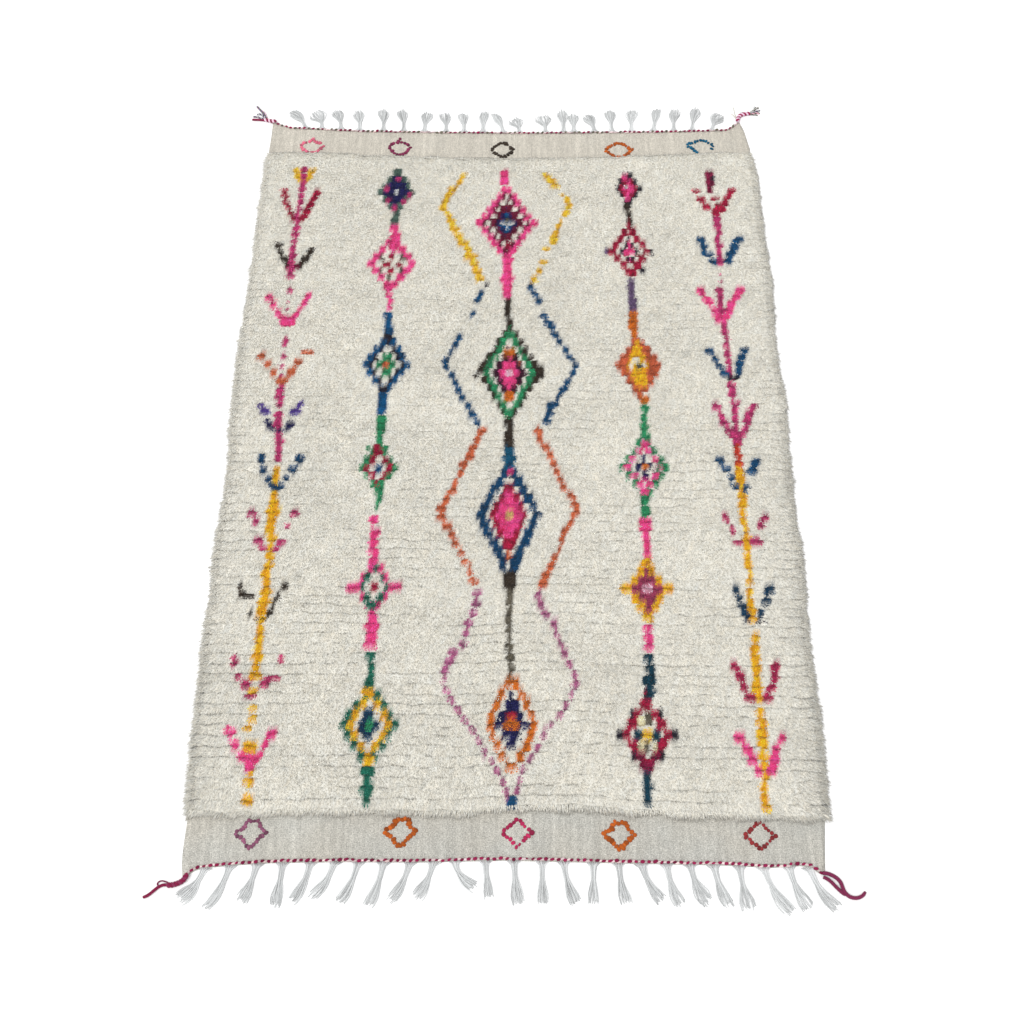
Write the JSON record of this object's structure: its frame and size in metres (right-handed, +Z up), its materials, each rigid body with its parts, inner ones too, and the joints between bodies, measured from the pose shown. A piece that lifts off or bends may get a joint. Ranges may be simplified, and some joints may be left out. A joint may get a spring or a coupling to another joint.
{
  "type": "azilal rug",
  "caption": "Flat rectangular wool rug with a shag pile field, flatwoven end bands, twined edge cords and tasselled fringes.",
  "frame": {"origin": "middle of the flat underside of the ground cloth", "axes": "+Y along the rug's length towards its far end, +X across its width to the right, +Z up through the pile"},
  "size_m": [1.7858, 2.736, 0.0219],
  "materials": {
    "ground_weave": "undyed flatwoven wool",
    "pile": "knotted cream wool shag with dyed motifs",
    "twined_yarn": "twisted magenta and cream wool yarn",
    "fringe_yarn": "grey-white spun warp yarn",
    "tail_yarn": "loose magenta wool yarn"
  },
  "bodies": {
    "root": {"ground_weave": "ground_weave", "pile": "pile", "twining_near": "twined_yarn", "twining_far": "twined_yarn", "fringe_near": "fringe_yarn", "fringe_far": "fringe_yarn", "tail_near_left": "tail_yarn", "tail_near_right": "tail_yarn", "tail_far_left": "tail_yarn", "tail_far_right": "tail_yarn"}
  },
  "joints": []
}
